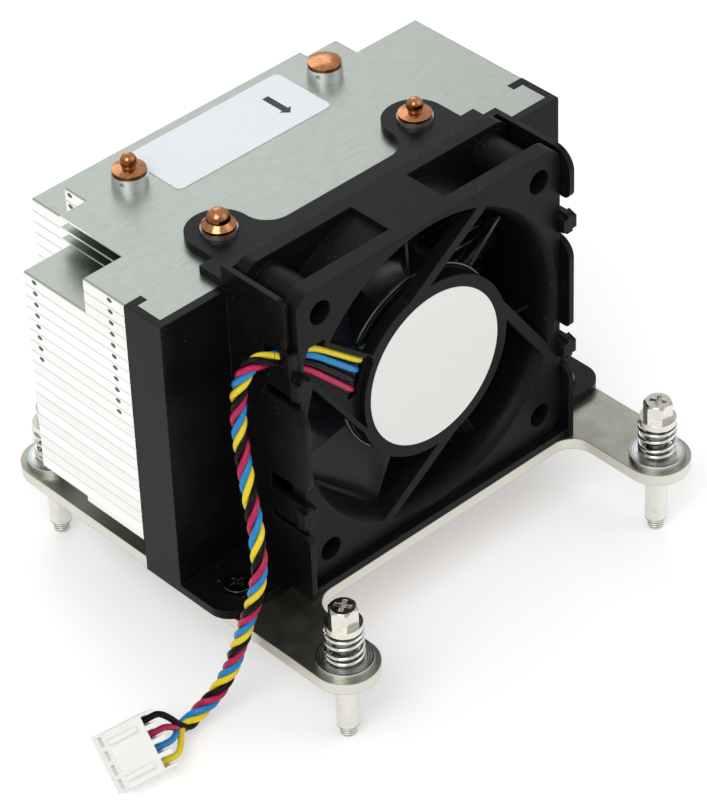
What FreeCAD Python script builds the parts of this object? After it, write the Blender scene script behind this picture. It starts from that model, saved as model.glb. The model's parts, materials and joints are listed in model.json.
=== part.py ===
import FreeCAD, Part
import math
import os

# Server CPU cooler: a folded-fin stack on two heat pipes, a spring-screwed base plate,
# and a moulded shroud that clips a 60 mm fan to the front of the fins.
# X runs across the fan, Y from the fan to the rear, Z up.
# The origin is the centre of the cold plate's contact face, millimetres throughout.

V = FreeCAD.Vector
os.makedirs("parts", exist_ok=True)

# ---- Mounting ------------------------------------------------------------------------
stud_spacing = 75.0          # square screw pattern
tip_drop = 10.3              # screw tips below the contact face
shoulder_drop = 7.9          # end of the plain sleeve below the contact face
cold_plate_t = 3.8           # copper below the base plate
cold_plate_half_x = 31.0
cold_plate_half_y = 16.0
plate_t = 2.2                # base plate
lobe_r = 6.0                 # plate lobes round the screws
plate_front = 22.7           # front edge ahead of the contact centre
plate_rear = 40.0
plate_corner_r = 4.5
window_half_x = 27.0
window_front = 5.0
window_rear = 33.0
window_r = 3.0

# ---- Fins ----------------------------------------------------------------------------
fin_count = 21
fin_t = 0.4
fin_floor_gap = 10.2         # plate top to the top of the lowest fin
fan_over_fins = 5.3          # fan's top above the top fin
fin_front_y = -3.8
fin_rear_y = 29.8
fin_half = 45.6
strip_half = 31.3            # narrow rear strip
strip_rear_y = 44.9
short_strip_rear_y = 35.2    # the top fins stop short
short_fins = 3
latch_cut_half = 36.9        # corner cut of the top fins, left side
latch_cut_y = 13.6
bend_r = 0.45                # outer radius of each fold
skirt_drop = 3.6             # the lowest fin's longer front skirt, below its top face
skirt_end_y = 18.0
skirt_short_drop = 2.5

# ---- Heat pipes ----------------------------------------------------------------------
pipe_r = 3.0
pipe_half_x = 22.4
front_leg_y = 6.05
rear_leg_y = 28.7
pipe_bend_r = 9.0
pipe_run_y = 2.9             # midway between the two bottom runs
pipe_run_gap = 7.0           # centre to centre
front_run_half = 12.0
rear_run_half = 14.0
pipe_floor = 1.2             # copper left under the pipes
collar_rise = 2.3            # top fin's collars
collar_t = 0.2
pipe_neck = 0.6              # bare pipe above the collar
nipple_r = 1.52
nipple_rise = 3.0
dome_r = 2.1
dome_rise = 3.0
flat_crown = 0.5

# ---- Fan -----------------------------------------------------------------------------
fan_size = 60.0
fan_depth = 15.0
fan_hole_inset = 5.0         # screw holes in from the frame's edges
fan_hole_r = 2.25
fan_corner_r = 3.0
flange_t = 3.3
rear_flange_t = 2.7
mouth_inset = 0.7            # throat's mouth in from the frame's edges
throat_inset = 2.2           # and its bore
ring_wall = 1.5
hub_r = 17.0
hub_t = 2.5
strut_t = 2.5
strut_turn = 35.0
strut_near = 14.3
strut_far = 16.2
channel_near = 8.8           # wire channel's inner side at the ring of a 60 mm fan
channel_root = 5.6           # and at the hub
channel_depth = 1.5
channel_wall = 0.8
gate_depth = 2.9             # where the wires leave over the frame's edge
gate_up = 18.4               # top wire at the gate, above the axis of a 60 mm fan
gate_inset = 3.6             # and in from the frame's edge
gate_step_x = 0.8            # from one wire to the next
gate_step_z = 0.87
wire_out = 0.7               # wires leave the board outside the hub
wire_turn = 149.4            # the top wire's bearing there
wire_step = 6.0
label_r = 14.75
label_t = 0.1
tip_gap = 0.6
cup_r = 16.8
cup_wall = 1.0
cup_back_t = 1.2
blade_count = 7
blade_t = 1.1
yoke_t = 0.8
magnet_t = 1.1
air_gap = 0.6
shaft_r = 1.5
shaft_fit = 0.03
bearing_r = 3.0
bearing_len = 2.5
tube_wall = 1.2
board_r = 13.0
board_t = 0.6
core_gap = 1.6               # circuit board to the core
core_len = 4.2
core_back = 1.7              # pole faces
winding_over = 1.0           # coil ends past the core
hub_wire_r = 0.58

# ---- Shroud --------------------------------------------------------------------------
panel_t = 1.7
fan_seat = 0.5               # raised seat behind the fan
fan_side_gap = 0.2
box_wall = 1.1
box_floor_t = 1.5
fan_proud = 0.9              # fan above the box walls
box_lip = 2.4                # box walls ahead of the fan's face
side_inset = 0.1             # shroud's side walls in from the fins' sides
side_wall_t = 1.4
side_wall_rear_y = 3.3
hook_reach = 2.1
hook_depth = 1.5
seat_gap = 0.1
rail_t = 1.6
rail_rear_y = 1.0
ear_r = 5.9
ear_fillet = 4.8
ear_hole_r = 3.28
foot_t = 1.7
foot_front_y = -17.6
foot_corner_r = 4.5
foot_screw_inset = 6.6       # in from the shroud's sides
foot_screw_y = -12.6
air_hole_gap = 0.4           # hole in the panel round the throat
slot_back_y = -14.0
rim_depth = 1.1
barb_out = 0.9
barb_in = 1.0
barb_len = 1.8

# ---- Screws --------------------------------------------------------------------------
sleeve_r = 2.0
tip_r = 1.45
screw_fit = 0.08
washer_r = 5.0
washer_t = 1.1
spring_len = 6.4
spring_outer_r = 3.45
spring_wire = 0.8
spring_turns = 4.5
cap_r = 3.25
cap_t = 1.2
hex_flats = 4.6
hex_len = 3.4
recess_depth = 1.6
clip_r = 3.7
clip_t = 0.6
clip_gap = 0.05
groove_r = 1.1
screw_travel = 2.4
foot_head_r = 2.5
foot_head_t = 1.0
foot_shank_r = 1.25

# ---- Lead and plug -------------------------------------------------------------------
lead_r = 1.45
lead_wire_r = 0.58
exit_gap = 0.6               # lead's start outside the box wall
exit_back = 2.1              # behind the fan's face
exit_up = 17.35              # above the axis of a 60 mm fan
lead_drop = 65.35            # exit to the board, as the route below was laid
plug_pitch = 2.54
plug_wide = 10.2
plug_thick = 5.8
plug_long = 9.6
plug_comb = 2.5
plug_tilt = 45.0
plug_yaw = -7.0
plug_out = 27.1              # plug's comb beyond the screws
lead_reach = 32.7            # exit to comb, as the route was laid
plug_ahead = 1.8
cavity = 1.7
ridge_wide = 0.9
ridge_tall = 0.8
ridge_long = 5.3

# ---- Label on the top fin ------------------------------------------------------------
sticker_x0 = -18.3
sticker_x1 = 16.8
sticker_y0 = 20.8
sticker_y1 = 35.0
sticker_t = 0.1
sticker_r = 1.2

# ---- Stations that follow ------------------------------------------------------------
plate_z0 = cold_plate_t
plate_z1 = plate_z0 + plate_t
panel_y1 = fin_front_y
panel_y0 = panel_y1 - panel_t
fan_y1 = panel_y0 - fan_seat
fan_y0 = fan_y1 - fan_depth
fan_z = plate_z1 + box_floor_t + fan_side_gap + fan_size / 2
grow = fan_size / 60.0       # stations up the fan's sides were measured on a 60 mm fan
fin_low = plate_z1 + fin_floor_gap
fin_top = fan_z + fan_size / 2 - fan_over_fins
fin_pitch = (fin_top - fin_low) / (fin_count - 1)
shroud_half = fin_half - side_inset
foot_screw_x = shroud_half - foot_screw_inset
throat_mouth_r = fan_size / 2 - mouth_inset
throat_r = fan_size / 2 - throat_inset
air_hole_r = throat_r + air_hole_gap
box_half = fan_size / 2 + fan_side_gap
box_out = box_half + box_wall
box_front_y = fan_y0 - box_lip
box_top = fan_z + fan_size / 2 - fan_proud
side_inner = shroud_half - side_wall_t
hook_half = side_inner - hook_reach
hook_y0 = side_wall_rear_y - hook_depth
stud_half = stud_spacing / 2
board_z = -tip_drop
blade_r = throat_r - tip_gap
hub_y1 = fan_y0 + hub_t
cup_y0 = hub_y1 + 1.2
cup_y1 = fan_y1 - 1.6
yoke_r = cup_r - cup_wall
magnet_out = yoke_r - yoke_t
magnet_in = magnet_out - magnet_t
core_r = magnet_in - air_gap
tube_r = bearing_r + tube_wall
exit_x = -box_out - exit_gap
exit_y = fan_y0 + exit_back
exit_z = fan_z + exit_up * grow
gate_z = gate_up * grow
channel_ring = channel_near * grow
plug_x = -stud_half - plug_out
wire_starts = []
wire_gates = []
for i in range(4):
    bearing = math.radians(wire_turn + wire_step * i)
    reach = hub_r + wire_out
    wire_starts.append((reach * math.cos(bearing), reach * math.sin(bearing)))
    wire_gates.append((gate_inset - fan_size / 2 - gate_step_x * i, gate_z - gate_step_z * i))


# ---- Helpers -------------------------------------------------------------------------
def save(name, shapes):
    """Write one node; several solids go in as a group."""
    if not isinstance(shapes, (list, tuple)):
        shapes = [shapes]
    solids = []
    for shape in shapes:
        solids.extend(shape.Solids)
    body = solids[0] if len(solids) == 1 else Part.makeCompound(solids)
    if not body.isValid():
        raise RuntimeError("not a valid solid: " + name)
    body.exportStep("parts/" + name + ".step")


def box(x0, x1, y0, y1, z0, z1):
    return Part.makeBox(x1 - x0, y1 - y0, z1 - z0, V(x0, y0, z0))


def post(x, y, radius, z0, z1):
    return Part.makeCylinder(radius, z1 - z0, V(x, y, z0), V(0, 0, 1))


def drum(radius, y0, y1, x=0.0, z=0.0):
    """Cylinder along Y, placed from the fan's axis."""
    return Part.makeCylinder(radius, y1 - y0, V(x, y0, fan_z + z), V(0, 1, 0))


def ring(outer, inner, y0, y1):
    return drum(outer, y0, y1).cut(drum(inner, y0 - 1, y1 + 1))


def rounded_wire(corners):
    """Closed outline in the XY plane; a corner is (a, b) or (a, b, radius)."""
    count = len(corners)
    points = [V(c[0], c[1], 0) for c in corners]
    marks = []
    for i in range(count):
        here = points[i]
        radius = corners[i][2] if len(corners[i]) > 2 else 0.0
        if radius <= 0:
            marks.append((here, None, here))
            continue
        back = (points[i - 1] - here).normalize()
        ahead = (points[(i + 1) % count] - here).normalize()
        half = back.getAngle(ahead) / 2
        reach = radius / math.tan(half)
        middle = here + (back + ahead).normalize() * (radius / math.sin(half) - radius)
        marks.append((here + back * reach, middle, here + ahead * reach))
    edges = []
    for i in range(count):
        start, middle, end = marks[i]
        if middle is not None:
            edges.append(Part.Arc(start, middle, end).toShape())
        following = marks[(i + 1) % count][0]
        if end.distanceToPoint(following) > 1e-5:
            edges.append(Part.LineSegment(end, following).toShape())
    return Part.Wire(edges)


def circle_wire(a, b, radius):
    return Part.Wire(Part.Circle(V(a, b, 0), V(0, 0, 1), radius).toShape())


def plan_slab(corners, z0, z1, holes=()):
    """Outline in plan, pulled up from z0 to z1."""
    face = Part.Face([rounded_wire(corners)] + list(holes))
    face.translate(V(0, 0, z0))
    return face.extrude(V(0, 0, z1 - z0))


def front_slab(corners, y0, y1):
    """Outline in (x, z from the fan's axis), pulled back from y0 to y1."""
    face = Part.Face(rounded_wire(corners))
    face.rotate(V(0, 0, 0), V(1, 0, 0), 90)
    face.translate(V(0, y0, fan_z))
    return face.extrude(V(0, y1 - y0, 0))


def side_slab(corners, x0, x1):
    """Outline in (y, z), pulled from x0 to x1."""
    face = Part.Face(rounded_wire(corners))
    face.rotate(V(0, 0, 0), V(1, 1, 1), 120)
    face.translate(V(x0, 0, 0))
    return face.extrude(V(x1 - x0, 0, 0))


def mirrored(shape):
    return shape.mirror(V(0, 0, 0), V(1, 0, 0))


def turned(shape, angle):
    """Turn about the fan's axis."""
    copy = shape.copy()
    copy.rotate(V(0, 0, fan_z), V(0, 1, 0), angle)
    return copy


def bent_path(points, radius=None):
    """Straight runs joined by tangent arcs; gives the wire, its length and the radii."""
    nodes = [V(*p) for p in points]
    edges = []
    radii = []
    start = nodes[0]
    for i in range(1, len(nodes) - 1):
        back = nodes[i - 1] - nodes[i]
        ahead = nodes[i + 1] - nodes[i]
        shorter = min(back.Length, ahead.Length)
        back.normalize()
        ahead.normalize()
        half_turn = (math.pi - back.getAngle(ahead)) / 2
        bend = radius if radius else 0.45 * shorter / math.tan(half_turn)
        reach = bend * math.tan(half_turn)
        inward = (back + ahead).normalize()
        first = nodes[i] + back * reach
        last = nodes[i] + ahead * reach
        middle = nodes[i] + inward * (bend / math.cos(half_turn) - bend)
        edges.append(Part.LineSegment(start, first).toShape())
        edges.append(Part.Arc(first, middle, last).toShape())
        radii.append(bend)
        start = last
    edges.append(Part.LineSegment(start, nodes[-1]).toShape())
    wire = Part.Wire(edges)
    return wire, wire.Length, radii


def tube(points, tube_radius, radius=None):
    wire, length, radii = bent_path(points, radius)
    start = V(*points[0])
    heading = V(*points[1]) - start
    profile = Part.Wire(Part.Circle(start, heading, tube_radius).toShape())
    solid = wire.makePipeShell([profile], True, False)
    return solid, length, radii


# ---- Base plate ----------------------------------------------------------------------
outer = stud_half + lobe_r
inner = stud_half - lobe_r
plate_half = [
    (inner, -plate_front, plate_corner_r),
    (inner, -outer, lobe_r - 0.01),
    (outer, -outer, lobe_r - 0.01),
    (outer, outer, lobe_r - 0.01),
    (inner, outer, lobe_r - 0.01),
    (inner, plate_rear, min(plate_corner_r, (outer - plate_rear) / 2)),
]
plate_outline = plate_half + [(-c[0],) + tuple(c[1:]) for c in reversed(plate_half)]
base_plate = plan_slab(plate_outline, plate_z0, plate_z1)
base_plate = base_plate.cut(
    plan_slab(
        [
            (-window_half_x, -window_front, window_r),
            (window_half_x, -window_front, window_r),
            (window_half_x, window_rear, window_r),
            (-window_half_x, window_rear, window_r),
        ],
        plate_z0 - 1,
        plate_z1 + 1,
    )
)
for sx in (-1, 1):
    for sy in (-1, 1):
        base_plate = base_plate.cut(
            post(sx * stud_half, sy * stud_half, sleeve_r + screw_fit, plate_z0 - 1, plate_z1 + 1)
        )
    base_plate = base_plate.cut(
        post(sx * foot_screw_x, foot_screw_y, foot_shank_r, plate_z0 - 1, plate_z1 + 1)
    )
save("base_plate", base_plate)


# ---- Heat pipes ----------------------------------------------------------------------
pipe_z = pipe_floor + pipe_r
stub_z = fin_top + collar_rise + pipe_neck


def pipe_body(leg_y, run_y, run_half):
    points = [
        (-pipe_half_x, leg_y, stub_z),
        (-pipe_half_x, leg_y, pipe_z),
        (-run_half, run_y, pipe_z),
        (run_half, run_y, pipe_z),
        (pipe_half_x, leg_y, pipe_z),
        (pipe_half_x, leg_y, stub_z),
    ]
    return tube(points, pipe_r, pipe_bend_r)[0]


def turned_end(x, y, profile):
    """Revolve (radius, height) marks about a pipe's axis; an arc is (r, z, r_mid, z_mid)."""
    edges = []
    here = V(0, 0, 0)
    for mark in profile:
        there = V(mark[0], 0, mark[1])
        if len(mark) == 4:
            edges.append(Part.Arc(here, V(mark[2], 0, mark[3]), there).toShape())
        else:
            edges.append(Part.LineSegment(here, there).toShape())
        here = there
    edges.append(Part.LineSegment(here, V(0, 0, 0)).toShape())
    solid = Part.Face(Part.Wire(edges)).revolve(V(0, 0, 0), V(0, 0, 1), 360)
    solid.translate(V(x, y, stub_z))
    return solid


def nipple_end(x, y):
    """Crimped and tinned filling tube: a cone with a ball on it."""
    centre = nipple_rise - nipple_r
    waist = nipple_r * math.sin(math.radians(50))
    waist_z = centre - nipple_r * math.cos(math.radians(50))
    side = [(pipe_r, 0), (waist, waist_z), (0, nipple_rise, nipple_r, centre)]
    return turned_end(x, y, side)


def dome_end(x, y):
    shoulder = dome_rise - dome_r
    side = [(pipe_r, 0), (dome_r, shoulder)]
    turn = math.radians(45)
    side.append((0, dome_rise, dome_r * math.cos(turn), shoulder + dome_r * math.sin(turn)))
    return turned_end(x, y, side)


def flat_end(x, y):
    side = [(pipe_r, 0), (0, flat_crown, pipe_r * 0.55, flat_crown * 0.72)]
    return turned_end(x, y, side)


front_run_y = pipe_run_y - pipe_run_gap / 2
rear_run_y = pipe_run_y + pipe_run_gap / 2
front_pipe = pipe_body(front_leg_y, front_run_y, front_run_half)
rear_pipe = pipe_body(rear_leg_y, rear_run_y, rear_run_half)
heat_pipe_front = front_pipe.fuse([dome_end(-pipe_half_x, front_leg_y), nipple_end(pipe_half_x, front_leg_y)])
heat_pipe_rear = rear_pipe.fuse([nipple_end(-pipe_half_x, rear_leg_y), flat_end(pipe_half_x, rear_leg_y)])
save("heat_pipe_front", heat_pipe_front.removeSplitter())
save("heat_pipe_rear", heat_pipe_rear.removeSplitter())


# ---- Cold plate ----------------------------------------------------------------------
cold_corner = 2.0
cold_plate = plan_slab(
    [
        (-cold_plate_half_x, -cold_plate_half_y, cold_corner),
        (cold_plate_half_x, -cold_plate_half_y, cold_corner),
        (cold_plate_half_x, cold_plate_half_y, cold_corner),
        (-cold_plate_half_x, cold_plate_half_y, cold_corner),
    ],
    0,
    cold_plate_t,
)
saddle_half = front_run_half - 1
saddle_lip = pipe_r + 0.8
saddle = box(
    -saddle_half,
    saddle_half,
    front_run_y - saddle_lip,
    rear_run_y + saddle_lip,
    cold_plate_t,
    pipe_z + pipe_r * 0.4,
)
cold_plate = cold_plate.fuse(saddle).cut([front_pipe, rear_pipe]).removeSplitter()
save("cold_plate", cold_plate)


# ---- Fins ----------------------------------------------------------------------------
fold = 1.0
nose_half = side_inner - seat_gap
notch_half = hook_half - seat_gap
notch_y = hook_y0 - seat_gap
shoulder_y = side_wall_rear_y + seat_gap


def flange(x_edge, y0, y1, top, bottom):
    """Bent-down edge with a rounded fold, facing the sign of x_edge."""
    sign = 1 if x_edge > 0 else -1
    profile = [
        (x_edge - sign * fold, top),
        (x_edge, top, bend_r),
        (x_edge, bottom),
        (x_edge - sign * fin_t, bottom),
        (x_edge - sign * fin_t, top - fin_t),
        (x_edge - sign * fold, top - fin_t),
    ]
    face = Part.Face(rounded_wire(profile))
    face.rotate(V(0, 0, 0), V(1, 0, 0), 90)
    face.translate(V(0, y0, 0))
    return face.extrude(V(0, y1 - y0, 0))


def fin(level):
    top = fin_top - level * fin_pitch
    bottom = top - fin_pitch
    short = level < short_fins
    strip_y = short_strip_rear_y if short else strip_rear_y
    side = fin_half - fold
    strip = strip_half - fold
    right = [
        (nose_half, fin_front_y),
        (nose_half, notch_y),
        (notch_half, notch_y),
        (notch_half, shoulder_y),
        (side, shoulder_y),
        (side, fin_rear_y),
        (strip, fin_rear_y),
        (strip, strip_y),
    ]
    left = [(-x, y) for x, y in reversed(right)]
    left_end_y = fin_rear_y
    if short:
        left_end_y = latch_cut_y
        left[2:3] = [(-latch_cut_half, fin_rear_y), (-latch_cut_half, latch_cut_y), (-side, latch_cut_y)]
    holes = []
    for sx in (-1, 1):
        holes.append(circle_wire(sx * pipe_half_x, front_leg_y, pipe_r))
        holes.append(circle_wire(sx * pipe_half_x, rear_leg_y, pipe_r))
    sheet = plan_slab(right + left, top - fin_t, top, holes)
    folds = [
        flange(strip_half, fin_rear_y, strip_y, top, bottom),
        flange(-strip_half, fin_rear_y, strip_y, top, bottom),
    ]
    if level == fin_count - 1:
        for edge in (fin_half, -fin_half):
            folds.append(flange(edge, shoulder_y, skirt_end_y, top, top - skirt_drop))
            folds.append(flange(edge, skirt_end_y, fin_rear_y, top, top - skirt_short_drop))
    else:
        folds.append(flange(fin_half, shoulder_y, fin_rear_y, top, bottom))
        folds.append(flange(-fin_half, shoulder_y, left_end_y, top, bottom))
    if level == 0:
        for sx in (-1, 1):
            for leg_y in (front_leg_y, rear_leg_y):
                collar = post(sx * pipe_half_x, leg_y, pipe_r + collar_t, top - fin_t, top + collar_rise)
                folds.append(collar.cut(post(sx * pipe_half_x, leg_y, pipe_r, top - 1, top + 9)))
    return sheet.fuse(folds).removeSplitter()


for level in range(fin_count):
    save("fin_%02d" % (level + 1), fin(level))

label = plan_slab(
    [
        (sticker_x0, sticker_y0, sticker_r),
        (sticker_x1, sticker_y0, sticker_r),
        (sticker_x1, sticker_y1, sticker_r),
        (sticker_x0, sticker_y1, sticker_r),
    ],
    fin_top,
    fin_top + sticker_t,
)
for sx in (-1, 1):
    label = label.cut(post(sx * pipe_half_x, rear_leg_y, pipe_r + collar_t + 0.3, fin_top - 1, fin_top + 1))
save("airflow_label", label)


# ---- Shroud --------------------------------------------------------------------------
def wall_part(x0, x1, z0, z1, front, top_r, bottom_r):
    """One piece of a box wall between two slots, joined to the wall behind them."""
    back = slot_back_y + 0.5
    corners = [(back, z0), (front, z0, bottom_r), (front, z1, top_r), (back, z1)]
    return side_slab(corners, x0, x1)


def latch_arm(x0, x1, z0, z1, barb_x0, barb_x1):
    """Springy arm whose barb holds the fan's face."""
    arm = wall_part(x0, x1, z0, z1, fan_y0 - barb_len, 0.6, 0.6)
    profile = [
        (fan_y0 - 0.05, z0 + 0.3),
        (fan_y0 - 0.05, z1 - 0.3),
        (fan_y0 - barb_len, z1 - 0.9),
        (fan_y0 - barb_len, z0 + 0.9),
    ]
    return arm.fuse(side_slab(profile, barb_x0, barb_x1))


lip_y = box_front_y
box_z0 = plate_z1
left_x0, left_x1 = -box_out, -box_half
panel = box(-shroud_half, shroud_half, panel_y0, panel_y1, plate_z1, fin_top)
rim_y1 = panel_y0 + rim_depth
rim = box(-box_out, box_out, panel_y0, rim_y1, fin_top, box_top)
seat = front_slab(
    [(-box_half, -fan_size / 2), (box_half, -fan_size / 2), (box_half, fan_size / 2 - fan_proud),
     (-box_half, fan_size / 2 - fan_proud)],
    fan_y1,
    panel_y0,
)
solid_parts = [seat, rim]
solid_parts.append(box(-box_out, box_out, lip_y + 0.8, panel_y0, box_z0, box_z0 + box_floor_t))

# Left wall: pieces (bottom, top, front edge, top radius, bottom radius) from the fan's axis
left_wall = [
    (18.6 * grow, box_top - fan_z, fan_y0 + 1.4, 2.0, 0.8),
    (-8.2 * grow, 8.6 * grow, lip_y + 0.2, 3.0, 1.5),
    (box_z0 - fan_z, -17.8 * grow, lip_y + 0.4, 2.0, 0.0),
]
right_wall = [
    (19.6 * grow, box_top - fan_z, lip_y + 0.3, 4.0, 1.5),
    (-7.5 * grow, 10.7 * grow, lip_y + 0.3, 3.5, 1.0),
    (box_z0 - fan_z, -16.0 * grow, lip_y + 0.3, 3.5, 0.0),
]
left_arms = [(10.6 * grow, 15.4 * grow), (-16.6 * grow, -11.7 * grow)]
right_arms = [(12.2 * grow, 16.4 * grow), (-14.5 * grow, -10.2 * grow)]
for z0, z1, front, top_r, bottom_r in left_wall:
    solid_parts.append(wall_part(left_x0, left_x1, fan_z + z0, fan_z + z1, front, top_r, bottom_r))
for z0, z1, front, top_r, bottom_r in right_wall:
    solid_parts.append(wall_part(box_half, box_out, fan_z + z0, fan_z + z1, front, top_r, bottom_r))
for z0, z1 in left_arms:
    solid_parts.append(
        latch_arm(left_x0, left_x1, fan_z + z0, fan_z + z1, left_x0 - barb_out, left_x1 + barb_in)
    )
for z0, z1 in right_arms:
    solid_parts.append(
        latch_arm(box_half, box_out, fan_z + z0, fan_z + z1, box_half - barb_in, box_out + barb_out)
    )
solid_parts.append(box(left_x0, left_x1, slot_back_y, panel_y0, box_z0, box_top))
solid_parts.append(box(box_half, box_out, slot_back_y, panel_y0, box_z0, box_top))

# Side walls with the ribs that hook behind the fins' noses, and the screw-down feet
for sign in (-1, 1):
    wall = box(side_inner, shroud_half, panel_y0, side_wall_rear_y, plate_z1, fin_top)
    rib = box(hook_half, shroud_half, hook_y0, side_wall_rear_y, fin_low - fin_t, fin_top)
    foot = plan_slab(
        [
            (box_out - 0.2, foot_front_y),
            (shroud_half, foot_front_y, foot_corner_r),
            (shroud_half, panel_y0 + 0.2),
            (box_out - 0.2, panel_y0 + 0.2),
        ],
        plate_z1,
        plate_z1 + foot_t,
    )
    foot = foot.cut(post(foot_screw_x, foot_screw_y, foot_shank_r + 0.15, plate_z1 - 1, plate_z1 + 9))
    side = wall.fuse([rib, foot])
    solid_parts.append(side if sign > 0 else mirrored(side))

# Rail over the top fin, with an ear round each front pipe
rail = box(-box_out, box_out, panel_y0, rail_rear_y, fin_top, fin_top + rail_t)
ears = []
for sign in (-1, 1):
    ear_side = pipe_half_x + ear_r
    corners = [
        (pipe_half_x - ear_r - ear_fillet * 1.4, rail_rear_y - 1.0),
        (pipe_half_x - ear_r - ear_fillet * 1.4, rail_rear_y),
        (pipe_half_x - ear_r, rail_rear_y, ear_fillet),
        (pipe_half_x - ear_r, front_leg_y + ear_r, ear_r - 0.01),
        (ear_side, front_leg_y + ear_r, ear_r - 0.01),
        (ear_side, rail_rear_y - 1.0),
    ]
    ear = plan_slab(corners, fin_top, fin_top + rail_t)
    ears.append(ear if sign > 0 else mirrored(ear))
shroud = panel.fuse(solid_parts + [rail] + ears)
for sign in (-1, 1):
    shroud = shroud.cut(post(sign * pipe_half_x, front_leg_y, ear_hole_r, fin_top - 1, fin_top + 9))
shroud = shroud.cut(drum(air_hole_r, fan_y1 - 1, panel_y1 + 1))
shroud = shroud.removeSplitter()
save("fan_shroud", shroud)

foot_screws = []
for sign in (-1, 1):
    x = sign * foot_screw_x
    seat_z = plate_z1 + foot_t
    head = post(x, foot_screw_y, foot_head_r, seat_z, seat_z + foot_head_t)
    screw = head.fuse(post(x, foot_screw_y, foot_shank_r, plate_z0, seat_z + 0.1))
    for turn in (0, 90):
        bar = box(-1.3, 1.3, -0.3, 0.3, seat_z + 0.3, seat_z + foot_head_t + 1)
        bar.rotate(V(0, 0, 0), V(0, 0, 1), turn)
        bar.translate(V(x, foot_screw_y, 0))
        screw = screw.cut(bar)
    foot_screws.append(screw.removeSplitter())
save("foot_screws", foot_screws)


# ---- Fan frame -----------------------------------------------------------------------
half = fan_size / 2
square = [(-half, -half, fan_corner_r), (half, -half, fan_corner_r), (half, half, fan_corner_r),
          (-half, half, fan_corner_r)]
mouth_y = fan_y0 + flange_t
tail_y = fan_y1 - rear_flange_t
frame_front = front_slab(square, fan_y0, mouth_y)
frame_rear = front_slab(square, tail_y, fan_y1)
middle = drum(throat_r + ring_wall, mouth_y - 0.5, tail_y + 0.5)
flat = 6.3
middle = middle.fuse(
    [
        box(-flat, flat, mouth_y - 0.5, tail_y + 0.5, fan_z - half, fan_z + half),
        box(-half, half, mouth_y - 0.5, tail_y + 0.5, fan_z - flat, fan_z + flat),
    ]
)
hole_at = half - fan_hole_inset
for sx in (-1, 1):
    for sz in (-1, 1):
        middle = middle.fuse(drum(fan_hole_r + 1.3, mouth_y - 0.5, tail_y + 0.5, sx * hole_at, sz * hole_at))
frame = frame_front.fuse([frame_rear, middle])
throat_edges = [
    Part.LineSegment(V(0, fan_y0 - 1, 0), V(throat_mouth_r, fan_y0 - 1, 0)).toShape(),
    Part.LineSegment(V(throat_mouth_r, fan_y0 - 1, 0), V(throat_mouth_r, fan_y0, 0)).toShape(),
    Part.Arc(
        V(throat_mouth_r, fan_y0, 0),
        V(throat_r + (throat_mouth_r - throat_r) * 0.3, fan_y0 + flange_t * 0.45, 0),
        V(throat_r, mouth_y, 0),
    ).toShape(),
    Part.LineSegment(V(throat_r, mouth_y, 0), V(throat_r, fan_y1 + 1, 0)).toShape(),
    Part.LineSegment(V(throat_r, fan_y1 + 1, 0), V(0, fan_y1 + 1, 0)).toShape(),
    Part.LineSegment(V(0, fan_y1 + 1, 0), V(0, fan_y0 - 1, 0)).toShape(),
]
throat = Part.Face(Part.Wire(throat_edges)).revolve(V(0, 0, 0), V(0, 1, 0), 360)
throat.translate(V(0, 0, fan_z))
frame = frame.cut(throat)
for sx in (-1, 1):
    for sz in (-1, 1):
        frame = frame.cut(drum(fan_hole_r, fan_y0 - 1, fan_y1 + 1, sx * hole_at, sz * hole_at))


def strut_points(angle, marks):
    """Marks are (along, across) from the fan's axis, the run pointing at angle."""
    along = (math.cos(math.radians(angle)), math.sin(math.radians(angle)))
    across = (-along[1], along[0])
    points = []
    for mark in marks:
        a = along[0] * mark[0] + across[0] * mark[1]
        b = along[1] * mark[0] + across[1] * mark[1]
        points.append((a, b) + tuple(mark[2:]))
    return points


ring_reach = drum(throat_mouth_r + 0.4, fan_y0, mouth_y)
hub = drum(hub_r, fan_y0, hub_y1)
frame_bits = [hub]
for step in range(3):
    angle = strut_turn - 90 * step
    bar = front_slab(
        strut_points(angle, [(0, strut_near), (half, strut_near), (half, strut_far), (0, strut_far)]),
        fan_y0,
        fan_y0 + strut_t,
    )
    frame_bits.append(bar.common(ring_reach))
channel_angle = strut_turn + 90
root_along = math.sqrt(hub_r ** 2 - channel_root ** 2)
ring_along = math.sqrt(throat_mouth_r ** 2 - channel_ring ** 2)
slope = (channel_ring - channel_root) / (ring_along - root_along)
channel_tail = channel_root + slope * (half - root_along)
channel_marks = [(0, channel_root), (root_along, channel_root), (half, channel_tail), (half, strut_far),
                 (0, strut_far)]
channel = front_slab(strut_points(channel_angle, channel_marks), fan_y0, fan_y0 + strut_t)
frame_bits.append(channel.common(ring_reach))
frame = frame.fuse(frame_bits)

# Recess that the hub wires lie in, out over the frame's left edge
w = channel_wall
recess_marks = [(hub_r - 7.5, channel_root + w), (root_along, channel_root + w), (half, channel_tail + w),
                (half, channel_ring + 3), (half - 5.5, strut_far - w), (hub_r - 11.5, strut_far - w)]
recess = front_slab(strut_points(channel_angle, recess_marks), fan_y0 - 1, fan_y0 + channel_depth)
recess = recess.cut(drum(hub_r - 0.9, fan_y0 - 1, mouth_y))
gate_top = gate_z + 0.8
gate_marks = [(9.5 - half, gate_z - 3.8), (3.8 - half, gate_top), (-half - 1, gate_top), (-half - 1, gate_z - 3.4),
              (0.6 - half, gate_z - 3.8), (8.0 - half, gate_z - 11.2)]
gate = front_slab(gate_marks, fan_y0 - 1, fan_y0 + channel_depth)
gate = gate.fuse(box(-half - 1, 5.8 - half, fan_y0 - 1, fan_y0 + gate_depth, fan_z + gate_z - 4.8, fan_z + gate_top))
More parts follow.
